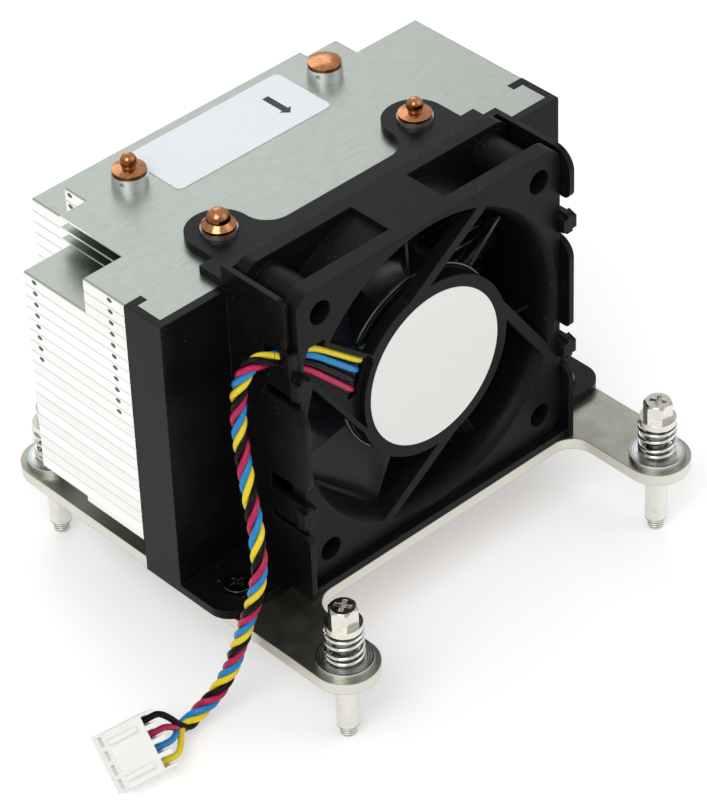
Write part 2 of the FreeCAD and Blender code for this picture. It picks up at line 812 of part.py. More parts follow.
wire_slot = ring(hub_r + 1.6, hub_r - 0.4, fan_y0 - 1, mouth_y).common(
    front_slab(
        strut_points(channel_angle, [(2, channel_root + 0.4), (half, channel_root + 0.4), (half, half), (2, half)]),
        fan_y0 - 1,
        mouth_y,
    )
)
slot_z0 = wire_starts[-1][1] - 1.5
slot_z1 = wire_starts[0][1] + 1.6
wire_slot = wire_slot.common(box(-half, 4 - hub_r, fan_y0 - 1, mouth_y, fan_z + slot_z0, fan_z + slot_z1))
tube_post = drum(tube_r, hub_y1 - 0.2, cup_y1 - cup_back_t - 1.0)
bore = drum(bearing_r, hub_y1, cup_y1)
frame = frame.fuse(tube_post).cut([bore, recess, gate, wire_slot]).removeSplitter()
save("fan_frame", frame)

fan_label = drum(label_r, fan_y0 - label_t, fan_y0)
save("fan_label", fan_label)

# ---- Motor ---------------------------------------------------------------------------
front_bearing_y = hub_y1
rear_bearing_y = cup_y1 - cup_back_t - 1.0 - bearing_len
for name, y0 in (("bearing_front", front_bearing_y), ("bearing_rear", rear_bearing_y)):
    save(name, ring(bearing_r, shaft_r + shaft_fit, y0, y0 + bearing_len))
board = drum(board_r, hub_y1, hub_y1 + board_t)
tab = front_slab(
    [(-hub_r - 1.1, slot_z0 + 0.2, 0.8), (-hub_r - 1.1, slot_z1 - 0.4, 0.8), (12 - hub_r, slot_z1 - 0.4),
     (12 - hub_r, slot_z0 + 0.2)],
    hub_y1,
    hub_y1 + board_t,
)
tab = tab.common(drum(hub_r + 1.1, hub_y1 - 1, hub_y1 + 2))
board = board.fuse(tab).cut(drum(tube_r, hub_y1 - 1, hub_y1 + 2)).removeSplitter()
save("fan_circuit_board", board)

core_y0 = hub_y1 + board_t + core_gap
core_y1 = core_y0 + core_len
core_inner = tube_r + 2.2
arm_half = 1.5
pole_back = core_r - core_back
core = ring(core_inner, tube_r, core_y0, core_y1)
windings = []
for step in range(4):
    arm = box(tube_r + 0.5, core_r - 0.5, core_y0, core_y1, fan_z - arm_half, fan_z + arm_half)
    pole = ring(core_r, pole_back, core_y0, core_y1).common(
        front_slab([(0, 0), (core_r * 2, -core_r * 1.3), (core_r * 2, core_r * 1.3)], core_y0, core_y1)
    )
    core = core.fuse([turned(arm, 90 * step), turned(pole, 90 * step)])
    coil_half = arm_half + 1.5
    coil = box(core_inner + 0.4, pole_back - 0.7, core_y0 - winding_over, core_y1 + winding_over, fan_z - coil_half, fan_z + coil_half)
    coil = coil.cut(box(0, core_r, core_y0, core_y1, fan_z - arm_half, fan_z + arm_half))
    windings.append(turned(coil, 90 * step))
save("stator_core", core.removeSplitter())
save("stator_windings", windings)

rotor = ring(cup_r, yoke_r, cup_y0, cup_y1).fuse(drum(cup_r, cup_y1 - cup_back_t, cup_y1))
boss_y = cup_y1 - cup_back_t - 0.8
rotor = rotor.fuse(drum(shaft_r + 1.3, boss_y, cup_y1 - 0.2))
rotor = rotor.cut(drum(shaft_r, boss_y - 1, cup_y1 - 0.4))


def blade_section(radius, lead_y, tail_y, width, thick):
    """Cambered blade section in a flat plane at this distance from the axis."""
    a = V(-width / 2, lead_y, radius)
    b = V(width / 2, tail_y, radius)
    chord = b - a
    edge = V(-chord.y, chord.x, 0).normalize()
    mid = (a + b) * 0.5 + edge * (chord.Length * 0.1)
    lift = thick / 2
    upper = Part.Arc(a + edge * 0.25, mid + edge * lift, b + edge * 0.25).toShape()
    lower = Part.Arc(b - edge * 0.25, mid - edge * lift, a - edge * 0.25).toShape()
    tail = Part.LineSegment(b + edge * 0.25, b - edge * 0.25).toShape()
    head = Part.LineSegment(a - edge * 0.25, a + edge * 0.25).toShape()
    return Part.Wire([upper, tail, lower, head])


blade_y0 = cup_y0 - 0.1
blade_y1 = cup_y1 - 0.3
blade = Part.makeLoft(
    [
        blade_section(cup_r - 3.0, blade_y0 + 0.5, blade_y1 - 0.3, 8.6, blade_t),
        blade_section(blade_r + 1.5, blade_y0 + 0.9, blade_y1 - 0.5, 16.0, blade_t * 0.8),
    ],
    True,
    True,
)
blade.translate(V(0, 0, fan_z))
blade = blade.common(ring(blade_r, cup_r - 0.4, blade_y0, blade_y1))
blades = [turned(blade, 360.0 / blade_count * i + 12) for i in range(blade_count)]
rotor = rotor.fuse(blades).removeSplitter()
save("fan_rotor", rotor)
save("rotor_yoke", ring(yoke_r, magnet_out, cup_y0 + 0.3, cup_y1 - cup_back_t))
save("rotor_magnet", ring(magnet_out, magnet_in, cup_y0 + 0.7, cup_y1 - cup_back_t - 1.2))
save("fan_shaft", drum(shaft_r, hub_y1 + 0.3, cup_y1 - 0.4))

# ---- Screws --------------------------------------------------------------------------
seat_z = plate_z1
spring_z0 = seat_z + washer_t
spring_z1 = spring_z0 + spring_len
cap_z1 = spring_z1 + cap_t
head_z1 = cap_z1 + hex_len
clip_z1 = plate_z0 - clip_gap
groove_z0 = clip_z1 - clip_t - clip_gap
groove_z1 = clip_z1 + clip_gap

hex_r = hex_flats / 2 / math.cos(math.pi / 6)
hex_corners = []
for i in range(6):
    turn = math.radians(60 * i)
    hex_corners.append((hex_r * math.cos(turn), hex_r * math.sin(turn)))


def mounting_screw():
    body = post(0, 0, sleeve_r, -shoulder_drop, spring_z1 + 0.1)
    body = body.fuse(
        [
            post(0, 0, tip_r, board_z + 0.5, -shoulder_drop + 0.1),
            Part.makeCone(tip_r - 0.5, tip_r, 0.5, V(0, 0, board_z)),
            post(0, 0, cap_r, spring_z1, cap_z1),
            plan_slab(hex_corners, cap_z1 - 0.1, head_z1),
        ]
    )
    collar = post(0, 0, sleeve_r + 1, groove_z0, groove_z1).cut(post(0, 0, groove_r, groove_z0, groove_z1))
    body = body.cut(collar)
    crown = Part.makeCone(hex_r + 0.55, hex_r - 0.5, 1.05, V(0, 0, head_z1 - 1.05))
    crown = crown.fuse(post(0, 0, cap_r + 1, board_z - 1, head_z1 - 1.0))
    body = body.common(crown)
    for turn in (0, 90):
        bar = box(-1.5, 1.5, -0.4, 0.4, head_z1 - recess_depth, head_z1 + 1)
        bar.rotate(V(0, 0, 0), V(0, 0, 1), turn + 30)
        body = body.cut(bar)
    return body.removeSplitter()


def spring():
    path_r = spring_outer_r - spring_wire / 2
    rise = spring_len - spring_wire
    helix = Part.makeHelix(rise / spring_turns, rise, path_r)
    half_wire = spring_wire / 2
    corners = [V(path_r - half_wire, 0, 0), V(path_r, 0, half_wire), V(path_r + half_wire, 0, 0),
               V(path_r, 0, -half_wire)]
    edges = []
    for i in range(4):
        edges.append(Part.LineSegment(corners[i], corners[(i + 1) % 4]).toShape())
    coil = helix.makePipeShell([Part.Wire(edges)], True, True)
    coil.translate(V(0, 0, spring_z0 + half_wire))
    return coil


def retaining_clip():
    z0 = clip_z1 - clip_t
    clip = post(0, 0, clip_r, z0, clip_z1).cut(post(0, 0, groove_r + screw_fit, z0 - 1, clip_z1 + 1))
    gap = groove_r * 0.95
    return clip.cut(box(-gap, gap, 0, clip_r + 1, z0 - 1, clip_z1 + 1))


washer = post(0, 0, washer_r, seat_z, spring_z0).cut(
    post(0, 0, sleeve_r + screw_fit, seat_z - 1, spring_z0 + 1)
)
pieces = {
    "mounting_screw": mounting_screw(),
    "screw_spring": spring(),
    "screw_washer": washer,
    "retaining_clip": retaining_clip(),
}
corners_named = {
    "front_left": (-stud_half, -stud_half),
    "front_right": (stud_half, -stud_half),
    "rear_left": (-stud_half, stud_half),
    "rear_right": (stud_half, stud_half),
}
for corner, (x, y) in corners_named.items():
    for piece, shape in pieces.items():
        copy = shape.copy()
        copy.translate(V(x, y, 0))
        save(piece + "_" + corner, copy)

# ---- Lead ----------------------------------------------------------------------------
lead_marks = [                # from the exit
    (0.0, 0.0, 0.0),
    (-3.6, 1.5, 0.75),
    (-5.1, 3.6, -1.85),
    (-5.7, 5.0, -8.45),
    (-6.7, 3.3, -17.15),
    (-9.3, -2.0, -26.05),
    (-11.7, -5.7, -34.95),
    (-14.2, -3.0, -47.45),
    (-16.3, -1.2, -56.35),
    (-19.8, -0.3, -60.65),
    (-24.3, 0.2, -62.65),
]
fall = (exit_z - board_z) / lead_drop
lean = (plug_x + lead_reach - exit_x) / lead_marks[-1][2]
lead_route = [(exit_x + x + z * lean, exit_y + y, exit_z + z * fall) for x, y, z in lead_marks]
lead, lead_length, lead_radii = tube(lead_route, lead_r)
save("fan_lead", lead)
section = math.pi * lead_r ** 2
print("lead: length %.2f, volume %.2f, section x length %.2f" % (lead_length, lead.Volume, section * lead_length))
print("lead radii:", ", ".join("%.2f" % r for r in lead_radii))

# Hub wires: from the circuit board, through the slot, along the channel to the lead
wire_y = fan_y0 + channel_depth - hub_wire_r
lead_start = V(*lead_route[0])
lead_heading = (V(*lead_route[1]) - lead_start).normalize()
lead_up = (V(0, 0, 1) - lead_heading * lead_heading.z).normalize()
lead_side = lead_heading.cross(lead_up)
hub_wires = []
exits = [(1, 1), (-1, 1), (-1, -1), (1, -1)]
for i in range(4):
    sx, sz = wire_starts[i]
    gx, gz = wire_gates[i]
    across, up = exits[i]
    finish = lead_start + lead_side * (across * (hub_wire_r + 0.02)) + lead_up * (up * (hub_wire_r + 0.02))
    points = [
        (sx, hub_y1, fan_z + sz),
        (sx, wire_y, fan_z + sz),
        (gx, wire_y, fan_z + gz),
        tuple(finish - lead_heading * 1.1),
        tuple(finish),
    ]
    hub_wires.append(tube(points, hub_wire_r)[0])
save("hub_wires", hub_wires)

# ---- Plug ----------------------------------------------------------------------------
plug_z = board_z + (plug_wide + plug_thick) / 2 * math.sin(math.radians(plug_tilt))
plug_place = FreeCAD.Placement(
    V(plug_x, exit_y - plug_ahead, plug_z),
    FreeCAD.Rotation(V(0, 0, 1), plug_yaw).multiply(FreeCAD.Rotation(V(1, 0, 0), plug_tilt)),
)


def plugged(shape):
    copy = shape.copy()
    copy.Placement = plug_place.multiply(copy.Placement)
    return copy


ways = [(i - 1.5) * plug_pitch for i in range(4)]
housing = box(-plug_long, 0, -plug_wide / 2, plug_wide / 2, -plug_thick / 2, plug_thick / 2)
for y in (-3.3, 3.3):
    housing = housing.fuse(
        box(-plug_long, -plug_long + ridge_long, y - ridge_wide / 2, y + ridge_wide / 2,
            plug_thick / 2, plug_thick / 2 + ridge_tall)
    )
for y in ways:
    c = cavity / 2
    housing = housing.cut(box(-plug_long - 1, 1, y - c, y + c, -c, c))
    housing = housing.cut(box(-plug_comb, 1, y - c, y + c, 0, plug_thick))
save("connector_housing", plugged(housing.removeSplitter()))
terminals = []
for y in ways:
    c = cavity / 2 - 0.05
    terminal = box(-plug_long + 0.8, -plug_comb - 0.4, y - c, y + c, -c, c)
    terminal = terminal.cut(box(-plug_long, -plug_comb - 2.4, y - c + 0.3, y + c - 0.3, -c + 0.3, c - 0.3))
    terminals.append(plugged(terminal))
save("connector_terminals", terminals)

lead_end = V(*lead_route[-1])
heading = (lead_end - V(*lead_route[-2])).normalize()
row = plug_place.Rotation.multVec(V(0, 1, 0))
rise_dir = plug_place.Rotation.multVec(V(0, 0, 1))
row_flat = (row - heading * row.dot(heading)).normalize()
up_flat = heading.cross(row_flat).normalize()
if up_flat.dot(rise_dir) < 0:
    up_flat = up_flat * -1
fan_out = lead_r - lead_wire_r - 0.02
offsets = [row_flat * -fan_out, up_flat * -fan_out, up_flat * fan_out, row_flat * fan_out]
ends = []
for i in range(4):
    begin = lead_end + offsets[i]
    target = plug_place.multVec(V(-plug_comb - 0.4, ways[i], 0))
    approach = plug_place.multVec(V(2.6, ways[i], 0))
    leave = begin + heading * 2.2
    wire, length, radii = bent_path([tuple(begin), tuple(leave), tuple(approach), tuple(target)])
    profile = Part.Wire(Part.Circle(begin, heading, lead_wire_r).toShape())
    ends.append(wire.makePipeShell([profile], True, False))
save("connector_wire_ends", ends)
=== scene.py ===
import json
import math

import bmesh
import bpy
from mathutils import Matrix, Vector


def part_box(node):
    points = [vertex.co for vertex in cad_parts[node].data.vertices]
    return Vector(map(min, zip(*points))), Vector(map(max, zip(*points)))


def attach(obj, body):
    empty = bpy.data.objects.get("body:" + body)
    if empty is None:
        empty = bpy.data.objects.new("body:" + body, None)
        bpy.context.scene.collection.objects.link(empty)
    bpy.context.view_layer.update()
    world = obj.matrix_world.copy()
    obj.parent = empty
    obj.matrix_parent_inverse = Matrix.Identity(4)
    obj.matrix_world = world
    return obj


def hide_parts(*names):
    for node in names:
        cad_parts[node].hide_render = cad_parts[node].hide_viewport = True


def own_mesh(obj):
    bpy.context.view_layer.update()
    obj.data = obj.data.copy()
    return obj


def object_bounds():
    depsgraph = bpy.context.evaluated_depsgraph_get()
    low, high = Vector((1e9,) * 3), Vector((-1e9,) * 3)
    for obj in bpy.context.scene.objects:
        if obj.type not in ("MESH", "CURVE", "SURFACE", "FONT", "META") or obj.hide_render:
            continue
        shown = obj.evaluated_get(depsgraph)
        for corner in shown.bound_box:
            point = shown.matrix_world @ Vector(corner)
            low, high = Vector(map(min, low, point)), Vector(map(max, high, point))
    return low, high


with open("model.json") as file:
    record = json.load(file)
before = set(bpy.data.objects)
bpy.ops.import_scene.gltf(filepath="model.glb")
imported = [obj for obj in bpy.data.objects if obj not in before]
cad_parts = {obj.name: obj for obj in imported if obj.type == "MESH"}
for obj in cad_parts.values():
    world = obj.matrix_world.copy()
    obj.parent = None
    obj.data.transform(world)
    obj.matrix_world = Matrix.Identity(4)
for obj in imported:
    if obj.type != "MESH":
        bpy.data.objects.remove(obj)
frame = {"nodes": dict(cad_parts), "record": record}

# Server CPU cooler: finishes for the CAD pieces, the twisted lead with its loose wires, the
# round-wire springs and a few fine pieces of the fan. Metres, in the frame of the CAD part.

cad_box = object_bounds()
mm = 0.001

# ---- Sizes taken from the frame ------------------------------------------------------
hub_low, hub_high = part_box("fan_frame")
fan_front = hub_low.y
fan_axis_z = (hub_low.z + hub_high.z) / 2
rotor_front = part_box("fan_rotor")[0].y
floor_z = cad_box[0].z
fin_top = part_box("airflow_label")[0].z
fin_pitch = fin_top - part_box("fin_02")[1].z
washer_low, washer_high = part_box("screw_washer_rear_right")
screw_half = (washer_low.x + washer_high.x) / 2
spring_low, spring_high = (corner.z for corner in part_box("screw_spring_rear_right"))
thread_pitch = 0.5 * mm
thread_length = 2.6 * mm

# ---- The lead's facts, as in the part's source ---------------------------------------
lead_route = [
    (-32.3, -17.2, 55.2),
    (-35.7, -16.4, 56.3),
    (-37.0, -14.9, 53.2),
    (-37.6, -13.9, 46.6),
    (-38.6, -15.6, 37.9),
    (-41.2, -20.9, 29.0),
    (-43.6, -24.6, 20.1),
    (-46.1, -21.9, 7.6),
    (-48.2, -20.1, -1.3),
    (-51.7, -19.2, -5.6),
    (-56.2, -18.7, -7.6),
]
lead_diameter = 2.9 * mm
wire_radius = 0.58 * mm
twist_pitch = 9.4 * mm
wire_colours = ("yellow", "black", "crimson", "blue")
# where each hub wire starts and leaves the frame, across and up from the fan's axis
hub_starts = {"yellow": (-15.1, 9.0), "blue": (-16.1, 7.4), "black": (-16.8, 5.7), "crimson": (-17.3, 3.9)}
hub_gates = {
    "yellow": (-26.4, 18.4), "blue": (-27.2, 17.55), "black": (-28.0, 16.65), "crimson": (-28.8, 15.8)
}
plug_place = (-64.6, -20.7, -4.643)
plug_yaw = -7.0
plug_tilt = 45.0
plug_pitch = 2.54
plug_order = ("yellow", "blue", "crimson", "black")


# ---- Camera, floor and light ---------------------------------------------------------
def studio():
    """The camera, the floor, the world's light and three lamps."""
    camera = bpy.data.cameras.new("photo_view")
    camera.sensor_fit = "VERTICAL"
    camera.sensor_height = 36.0
    camera.lens = 173.25
    camera.shift_x = 0.0056
    camera.shift_y = 0.0100
    camera.clip_start = 0.01
    turn, rise, roll = (math.radians(a) for a in (-41.72, 38.74, -2.44))
    back = Vector((math.sin(turn) * math.cos(rise), -math.cos(turn) * math.cos(rise), math.sin(rise)))
    right = (-back).cross(Vector((0, 0, 1))).normalized()
    up = back.cross(right)
    right, up = (
        right * math.cos(roll) + up * math.sin(roll),
        up * math.cos(roll) - right * math.sin(roll),
    )
    place = Matrix((right, up, back)).transposed().to_4x4()
    place.translation = Vector((-348.6, -390.0, 436.6)) * mm
    eye = bpy.data.objects.new("photo_view", camera)
    eye.matrix_world = place
    bpy.context.scene.collection.objects.link(eye)
    bpy.context.scene.camera = eye
    bpy.context.scene.view_settings.view_transform = "Standard"

    half = 3.0
    mesh = bpy.data.meshes.new("floor")
    corners = [(-half, -half, 0), (half, -half, 0), (half, half, 0), (-half, half, 0)]
    mesh.from_pydata(corners, [], [(0, 1, 2, 3)])
    floor = bpy.data.objects.new("floor", mesh)
    floor.location.z = floor_z - 0.02 * mm
    bpy.context.scene.collection.objects.link(floor)
    floor.data.materials.append(floor_finish())

    world = bpy.data.worlds.new("studio")
    world.use_nodes = True
    world.node_tree.nodes["Background"].inputs["Color"].default_value = (1.0, 1.0, 1.0, 1)
    world.node_tree.nodes["Background"].inputs["Strength"].default_value = 0.66
    bpy.context.scene.world = world

    middle = Vector((0, 0, 30 * mm))
    for name, spot, size, power in (
        ("key", (-0.75, -0.35, 0.95), 0.7, 5.0),
        ("fill", (0.55, -0.85, 0.60), 0.8, 1.6),
        ("back", (0.45, 0.80, 0.70), 0.7, 1.8),
    ):
        lamp = bpy.data.lights.new(name, "AREA")
        lamp.shape = "SQUARE"
        lamp.size = size
        lamp.energy = power
        holder = bpy.data.objects.new(name, lamp)
        holder.location = spot
        holder.rotation_euler = (middle - Vector(spot)).to_track_quat("-Z", "Y").to_euler()
        bpy.context.scene.collection.objects.link(holder)


# ---- Finishes ------------------------------------------------------------------------
class Finish:
    """A material, with short calls for the nodes that feed its shader."""

    def __init__(self, name, colour=(0.5, 0.5, 0.5), rough=0.5, **sockets):
        self.material = bpy.data.materials.new(name)
        self.material.use_nodes = True
        self.nodes = self.material.node_tree.nodes
        self.links = self.material.node_tree.links
        self.shader = self.nodes["Principled BSDF"]
        self.place = self.add("ShaderNodeTexCoord").outputs["Object"]
        self.put("Base Color", (*colour, 1))
        self.put("Roughness", rough)
        for key, value in sockets.items():
            self.put(key.replace("_", " "), value)

    def add(self, kind, inputs=(), **settings):
        node = self.nodes.new(kind)
        for key, value in settings.items():
            setattr(node, key, value)
        for key, value in dict(inputs).items():
            self.feed(node.inputs[key], value)
        return node

    def feed(self, socket, value):
        if isinstance(value, bpy.types.NodeSocket):
            self.links.new(value, socket)
        else:
            socket.default_value = value

    def put(self, name, value):
        self.feed(self.shader.inputs[name], value)

    def math(self, operation, a, b=0.0, clamp=False):
        return self.add("ShaderNodeMath", {0: a, 1: b}, operation=operation, use_clamp=clamp).outputs[0]

    def noise(self, size, detail=2.0, rough=0.5, stretch=(1, 1, 1)):
        """Smooth noise whose patches are about size metres across, longer where stretch is more than 1."""
        scaled = self.add(
            "ShaderNodeMapping", {"Vector": self.place, "Scale": tuple(1 / (size * s) for s in stretch)}
        ).outputs[0]
        return self.add(
            "ShaderNodeTexNoise", {"Vector": scaled, "Scale": 1.0, "Detail": detail, "Roughness": rough}
        ).outputs["Fac"]

    def span(self, value, low, high, to_low=0.0, to_high=1.0):
        return self.add(
            "ShaderNodeMapRange",
            {"Value": value, "From Min": low, "From Max": high, "To Min": to_low, "To Max": to_high},
            clamp=True,
        ).outputs[0]

    def mix(self, factor, a, b, blend="MIX"):
        a, b = ((*c, 1) if isinstance(c, tuple) else c for c in (a, b))
        return self.add(
            "ShaderNodeMix", {0: factor, 6: a, 7: b}, data_type="RGBA", blend_type=blend
        ).outputs[2]

    def axes(self):
        split = self.add("ShaderNodeSeparateXYZ", {0: self.place})
        return split.outputs[0], split.outputs[1], split.outputs[2]

    def facing(self):
        """How far the surface faces along X, Y and Z, each from 0 to 1."""
        split = self.add("ShaderNodeSeparateXYZ", {0: self.add("ShaderNodeNewGeometry").outputs["Normal"]})
        return [self.math("ABSOLUTE", out) for out in split.outputs]

    def edges(self, radius):
        """The rounded normal, and 1 on sharp edges fading to 0 at radius from them."""
        rounded = self.add("ShaderNodeBevel", {"Radius": radius}, samples=6).outputs[0]
        flat = self.add("ShaderNodeNewGeometry").outputs["Normal"]
        dot = self.add("ShaderNodeVectorMath", {0: rounded, 1: flat}, operation="DOT_PRODUCT")
        return rounded, self.span(dot.outputs["Value"], 0.995, 0.80)

    def bump(self, height, depth, normal=None):
        node = self.add("ShaderNodeBump", {"Height": height, "Distance": depth, "Strength": 1.0})
        if normal is not None:
            self.feed(node.inputs["Normal"], normal)
        self.put("Normal", node.outputs[0])


def floor_finish():
    """Pale floor that looks white to the camera and in reflections, and keeps the shadow."""
    finish = Finish("floor_white", (0.86, 0.86, 0.86), 0.9, Specular_IOR_Level=0.0)
    path = finish.add("ShaderNodeLightPath").outputs
    seen = finish.math("MAXIMUM", path["Is Camera Ray"], path["Is Glossy Ray"])
    seen = finish.math("MAXIMUM", seen, path["Is Transmission Ray"])
    finish.put("Emission Color", (1.0, 1.0, 1.0, 1))
    finish.put("Emission Strength", finish.math("MULTIPLY", seen, 0.30))
    return finish.material


def fin_finish():
    """Rolled sheet: grey on the flats, with the flanges painted bright as a reflection of the floor and the
    punched interlocks painted dark as the shade in their recesses.
    """
    finish = Finish("fin_aluminium", rough=0.36, Metallic=1.0)
    _, y, z = finish.axes()
    side, _, flat = finish.facing()
    grain = finish.noise(0.5 * mm, 3, 0.7, (5, 1, 1))
    cloud = finish.noise(14 * mm, 3)
    level = finish.math("FLOOR", finish.math("DIVIDE", finish.math("SUBTRACT", z, fin_top), fin_pitch))
    shade = finish.add("ShaderNodeTexWhiteNoise", {"W": level}, noise_dimensions="1D").outputs["Value"]
    sheet = finish.mix(grain, (0.33, 0.365, 0.335), (0.37, 0.405, 0.375))
    sheet = finish.mix(finish.span(cloud, 0.35, 0.7, 0, 0.5), sheet, (0.345, 0.38, 0.35))
    # painted reflection: the upright flanges are near white, as if reflecting the white floor, while the
    # flat tops stay grey
    flange_painted_reflection = finish.mix(shade, (0.86, 0.87, 0.84), (0.97, 0.97, 0.95))
    colour = finish.mix(finish.span(flat, 0.5, 0.9), flange_painted_reflection, sheet)

    # each interlock is painted as a dark oval of shade, as in its recess, just under the seam, in two or
    # three columns
    step = finish.math("FRACT", finish.math("DIVIDE", finish.math("SUBTRACT", z, fin_top), fin_pitch))
    up = finish.math("MULTIPLY", finish.math("SUBTRACT", step, 0.62), fin_pitch / (0.42 * mm))
    interlock_recess_shade = None
    mark_long, column_end = 0.62 * mm, fin_top - 25.5 * mm
    for column, lowest in ((7.0 * mm, column_end), (27.0 * mm, column_end), (34.0 * mm, 0.0)):
        along = finish.math("DIVIDE", finish.math("SUBTRACT", y, column), mark_long)
        far = finish.math("ADD", finish.math("POWER", finish.math("ABSOLUTE", along), 2.0),
                          finish.math("POWER", finish.math("ABSOLUTE", up), 2.0))
        inside = finish.span(far, 1.15, 0.85)
        inside = finish.math("MULTIPLY", inside, finish.math("GREATER_THAN", z, lowest))
        interlock_recess_shade = inside if interlock_recess_shade is None else finish.math("MAXIMUM", interlock_recess_shade, inside)
    interlock_recess_shade = finish.math("MULTIPLY", interlock_recess_shade, finish.span(side, 0.8, 0.95))
    # painted shade of the interlocks' recesses
    colour = finish.mix(interlock_recess_shade, colour, (0.10, 0.10, 0.09))
    finish.put("Base Color", colour)
    finish.put("Roughness", finish.span(grain, 0.3, 0.7, 0.33, 0.43))
    height = finish.math("SUBTRACT", finish.math("MULTIPLY", grain, 0.1), interlock_recess_shade)
    finish.bump(height, 0.06 * mm)
    return finish.material


def plastic_finish(name, colour, light, rough, grain=0.12, specks=0.5, gloss=0.12):
    """Moulding with fine spark grain, a painted highlight on its edges and a few pale specks of dust."""
    finish = Finish(name, rough=rough, Specular_IOR_Level=gloss)
    normal, edge = finish.edges(0.22 * mm)
    fine = finish.noise(grain * mm, 2, 0.6)
    cloud = finish.noise(9 * mm, 4, 0.6)
    dust = finish.span(finish.noise(0.5 * mm, 1, 0.4), 0.76, 0.82, 0, specks)
    tone = finish.mix(finish.span(cloud, 0.3, 0.75), colour, light)
    # painted highlight: the edges are lightened towards four times the light tone
    tone = finish.mix(finish.math("MULTIPLY", edge, 0.35), tone, tuple(4.0 * c for c in light))
    tone = finish.mix(dust, tone, (0.22, 0.22, 0.22))
    finish.put("Base Color", tone)
    finish.put("Roughness", finish.span(cloud, 0.3, 0.7, rough - 0.05, rough + 0.07))
    finish.bump(fine, 0.012 * mm, normal)
    return finish.material


def metal_finish(
    name, colour, light, rough, size=0.5, stretch=(1, 1, 1), depth=0.006, edge_wear_and_highlight=0.25, bevel=0.12,
    side=None
):
    """Bare or plated metal in two tones, lightened on its edges by rubbing and a painted highlight; side is
    the painted tone of upright faces, set for how light falls on them.
    """
    finish = Finish(name, rough=rough, Metallic=1.0)
    normal, edge = finish.edges(bevel * mm)
    grain = finish.noise(size * mm, 4, 0.6, stretch)
    cloud = finish.noise(6 * mm, 3)
    tone = finish.mix(grain, colour, light)
    tone = finish.mix(finish.span(cloud, 0.35, 0.7, 0, 0.4), tone, colour)
    # painted light: upright faces take the side tone, darker or lighter than the tops for how light falls on
    # them
    if side is not None:
        tone = finish.mix(finish.span(finish.facing()[2], 0.75, 0.35), tone, side)
    # edges lightened: partly rubbing wear and partly a painted highlight
    rubbed_and_highlight = tuple(min(1.0, 1.25 * c) for c in light)
    tone = finish.mix(finish.math("MULTIPLY", edge, edge_wear_and_highlight), tone, rubbed_and_highlight)
    finish.put("Base Color", tone)
    finish.put("Roughness", finish.span(cloud, 0.3, 0.7, rough - 0.06, rough + 0.08))
    finish.bump(grain, depth * mm, normal)
    return finish.material


def screw_finish():
    """Bright nickel with painted shade on the upward faces and inside the spring, a thread on each stud's
    tip with its grooves painted dark as shade, and painted highlights on the edges.
    """
    finish = Finish("screw_nickel", rough=0.2, Metallic=1.0)
    z = finish.axes()[2]
    normal, edge = finish.edges(0.12 * mm)
    cloud = finish.noise(1.5 * mm, 3)
    tone = finish.mix(cloud, (0.66, 0.65, 0.58), (0.86, 0.85, 0.79))
    # painted shade: faces turned upward are darkened towards near black
    tone = finish.mix(finish.span(finish.facing()[2], 0.4, 0.9, 0, 0.62), tone, (0.16, 0.15, 0.13))
    turns = finish.math("FRACT", finish.math("DIVIDE", z, thread_pitch))
    from_middle = finish.math("ABSOLUTE", finish.math("SUBTRACT", turns, 0.5))
    groove = finish.math(
        "MULTIPLY", finish.span(from_middle, 0.3, 0.1), finish.math("LESS_THAN", z, floor_z + thread_length)
    )
    # painted shade in the thread's grooves
    tone = finish.mix(finish.math("MULTIPLY", groove, 0.85), tone, (0.17, 0.16, 0.13))
    # painted highlight on the edges
    tone = finish.mix(finish.math("MULTIPLY", edge, 0.6), tone, (0.95, 0.94, 0.90))
    # painted shade on the stud where the spring surrounds it
    shaded = finish.math(
        "MULTIPLY", finish.math("GREATER_THAN", z, spring_low), finish.math("LESS_THAN", z, spring_high)
    )
    tone = finish.mix(finish.math("MULTIPLY", shaded, 0.86), tone, (0.09, 0.08, 0.07))
    finish.put("Base Color", tone)
    finish.put("Roughness", finish.span(cloud, 0.3, 0.7, 0.16, 0.30))
    finish.bump(finish.math("MULTIPLY", groove, -1.0), 0.12 * mm, normal)
    return finish.material


def washer_finish():
    """Zinc plate, bluish on top, with bright turning rings round each spring's seat, its upright faces
    painted pale as reflected light and its edges painted with a highlight.
    """
    finish = Finish("washer_zinc", rough=0.3, Metallic=1.0)
    x, y, _ = finish.axes()
    normal, edge = finish.edges(0.15 * mm)
    out = []
    for value in (x, y):
        from_screw = finish.math("SUBTRACT", finish.math("ABSOLUTE", value), screw_half)
        out.append(finish.math("POWER", from_screw, 2.0))
    ring = finish.math("SQRT", finish.math("ADD", *out))
    turning = finish.math("FRACT", finish.math("DIVIDE", ring, 0.45 * mm))
    turning = finish.span(finish.math("ABSOLUTE", finish.math("SUBTRACT", turning, 0.5)), 0.5, 0.25)
    near = finish.span(ring, 4.9 * mm, 3.6 * mm)
    cloud = finish.noise(2.5 * mm, 3)
    tone = finish.mix(cloud, (0.16, 0.19, 0.20), (0.34, 0.38, 0.39))
    bright = finish.math("MULTIPLY", near, finish.span(turning, 0, 1, 0.4, 0.9))
    tone = finish.mix(bright, tone, (0.74, 0.76, 0.74))
    # painted reflection: upright faces turned pale
    tone = finish.mix(finish.span(finish.facing()[2], 0.75, 0.35), tone, (0.72, 0.73, 0.68))
    # painted highlight on the edges
    tone = finish.mix(finish.math("MULTIPLY", edge, 0.7), tone, (0.86, 0.87, 0.84))
    finish.put("Base Color", tone)
    finish.put("Roughness", finish.span(cloud, 0.3, 0.7, 0.2, 0.34))
    finish.bump(turning, 0.02 * mm, normal)
    return finish.material


